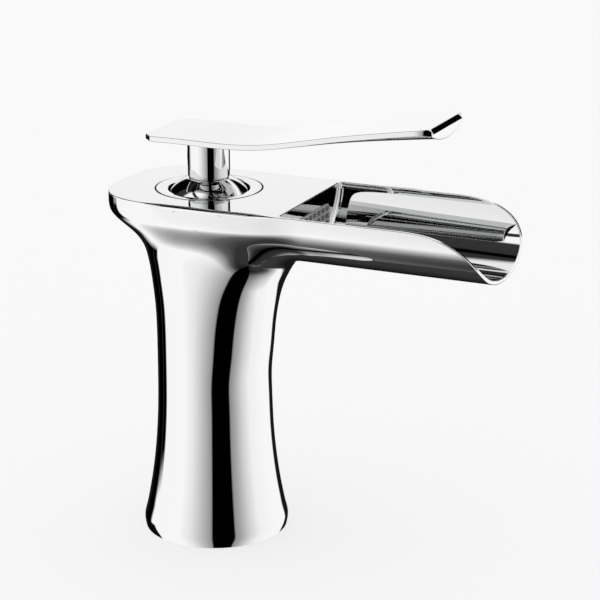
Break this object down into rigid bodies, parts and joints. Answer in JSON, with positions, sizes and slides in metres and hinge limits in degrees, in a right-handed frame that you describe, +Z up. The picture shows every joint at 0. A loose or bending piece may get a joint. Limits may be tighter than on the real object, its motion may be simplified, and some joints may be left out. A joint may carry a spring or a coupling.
{
  "type": "waterfall basin faucet",
  "caption": "Single-lever basin tap: round flared column, flat deck, open half-pipe waterfall spout with outlet grille, and a thin upswept lever on a round stem.",
  "frame": {"origin": "centre of the foot on the mounting face", "axes": "+Z up from the basin, +X along the spout towards its lip, +Y to the left of the spout"},
  "size_m": [0.1369, 0.0558, 0.1511],
  "materials": {
    "chrome": "mirror-polished chrome plating",
    "grille_plastic": "satin grey moulding",
    "seal_rubber": "matt black rubber",
    "cartridge_plastic": "moulded engineering plastic",
    "ceramic": "lapped alumina",
    "raw_brass": "machined brass",
    "steel": "bright stainless steel",
    "plug_plastic": "gloss moulding with a red and a blue half"
  },
  "bodies": {
    "tap_body": {"body_casting": "chrome", "column_shell": "chrome", "spout_trough": "chrome", "hot_inlet_boss": "raw_brass", "cold_inlet_boss": "raw_brass", "stud_boss": "raw_brass", "base_gasket": "seal_rubber", "outlet_grille": "grille_plastic", "outlet_gasket": "seal_rubber", "cartridge_housing": "cartridge_plastic", "housing_seal": "seal_rubber", "cartridge_base": "cartridge_plastic", "port_seals": "seal_rubber", "fixed_disc": "ceramic", "retaining_nut": "raw_brass", "trim_ring": "chrome"},
    "valve_collar": {"spindle_collar": "cartridge_plastic", "spindle_pin": "steel"},
    "valve_slider": {"disc_carrier": "cartridge_plastic", "moving_disc": "ceramic"},
    "handle": {"handle_lever": "chrome", "spindle": "raw_brass", "handle_dome": "chrome", "dome_clip": "steel", "handle_screw": "steel", "index_plug": "plug_plastic"}
  },
  "joints": [
    {"name": "temperature_swivel", "type": "hinge", "parent": "tap_body", "child": "valve_collar", "pos_m": [-0.0014, 0, 0.1085], "axis": [0, 0, 1], "range_deg": [-45, 45]},
    {"name": "flow_lift", "type": "hinge", "parent": "valve_collar", "child": "handle", "pos_m": [-0.0014, 0, 0.1085], "axis": [0, -1, 0], "range_deg": [0, 25]},
    {"name": "disc_slide", "type": "slide", "parent": "valve_collar", "child": "valve_slider", "axis": [1, 0, 0], "range_m": [0, 0.00276]}
  ],
  "couplings": [
    {"joint": "disc_slide", "follows": "flow_lift", "m_per_rad": 0.0063}
  ]
}
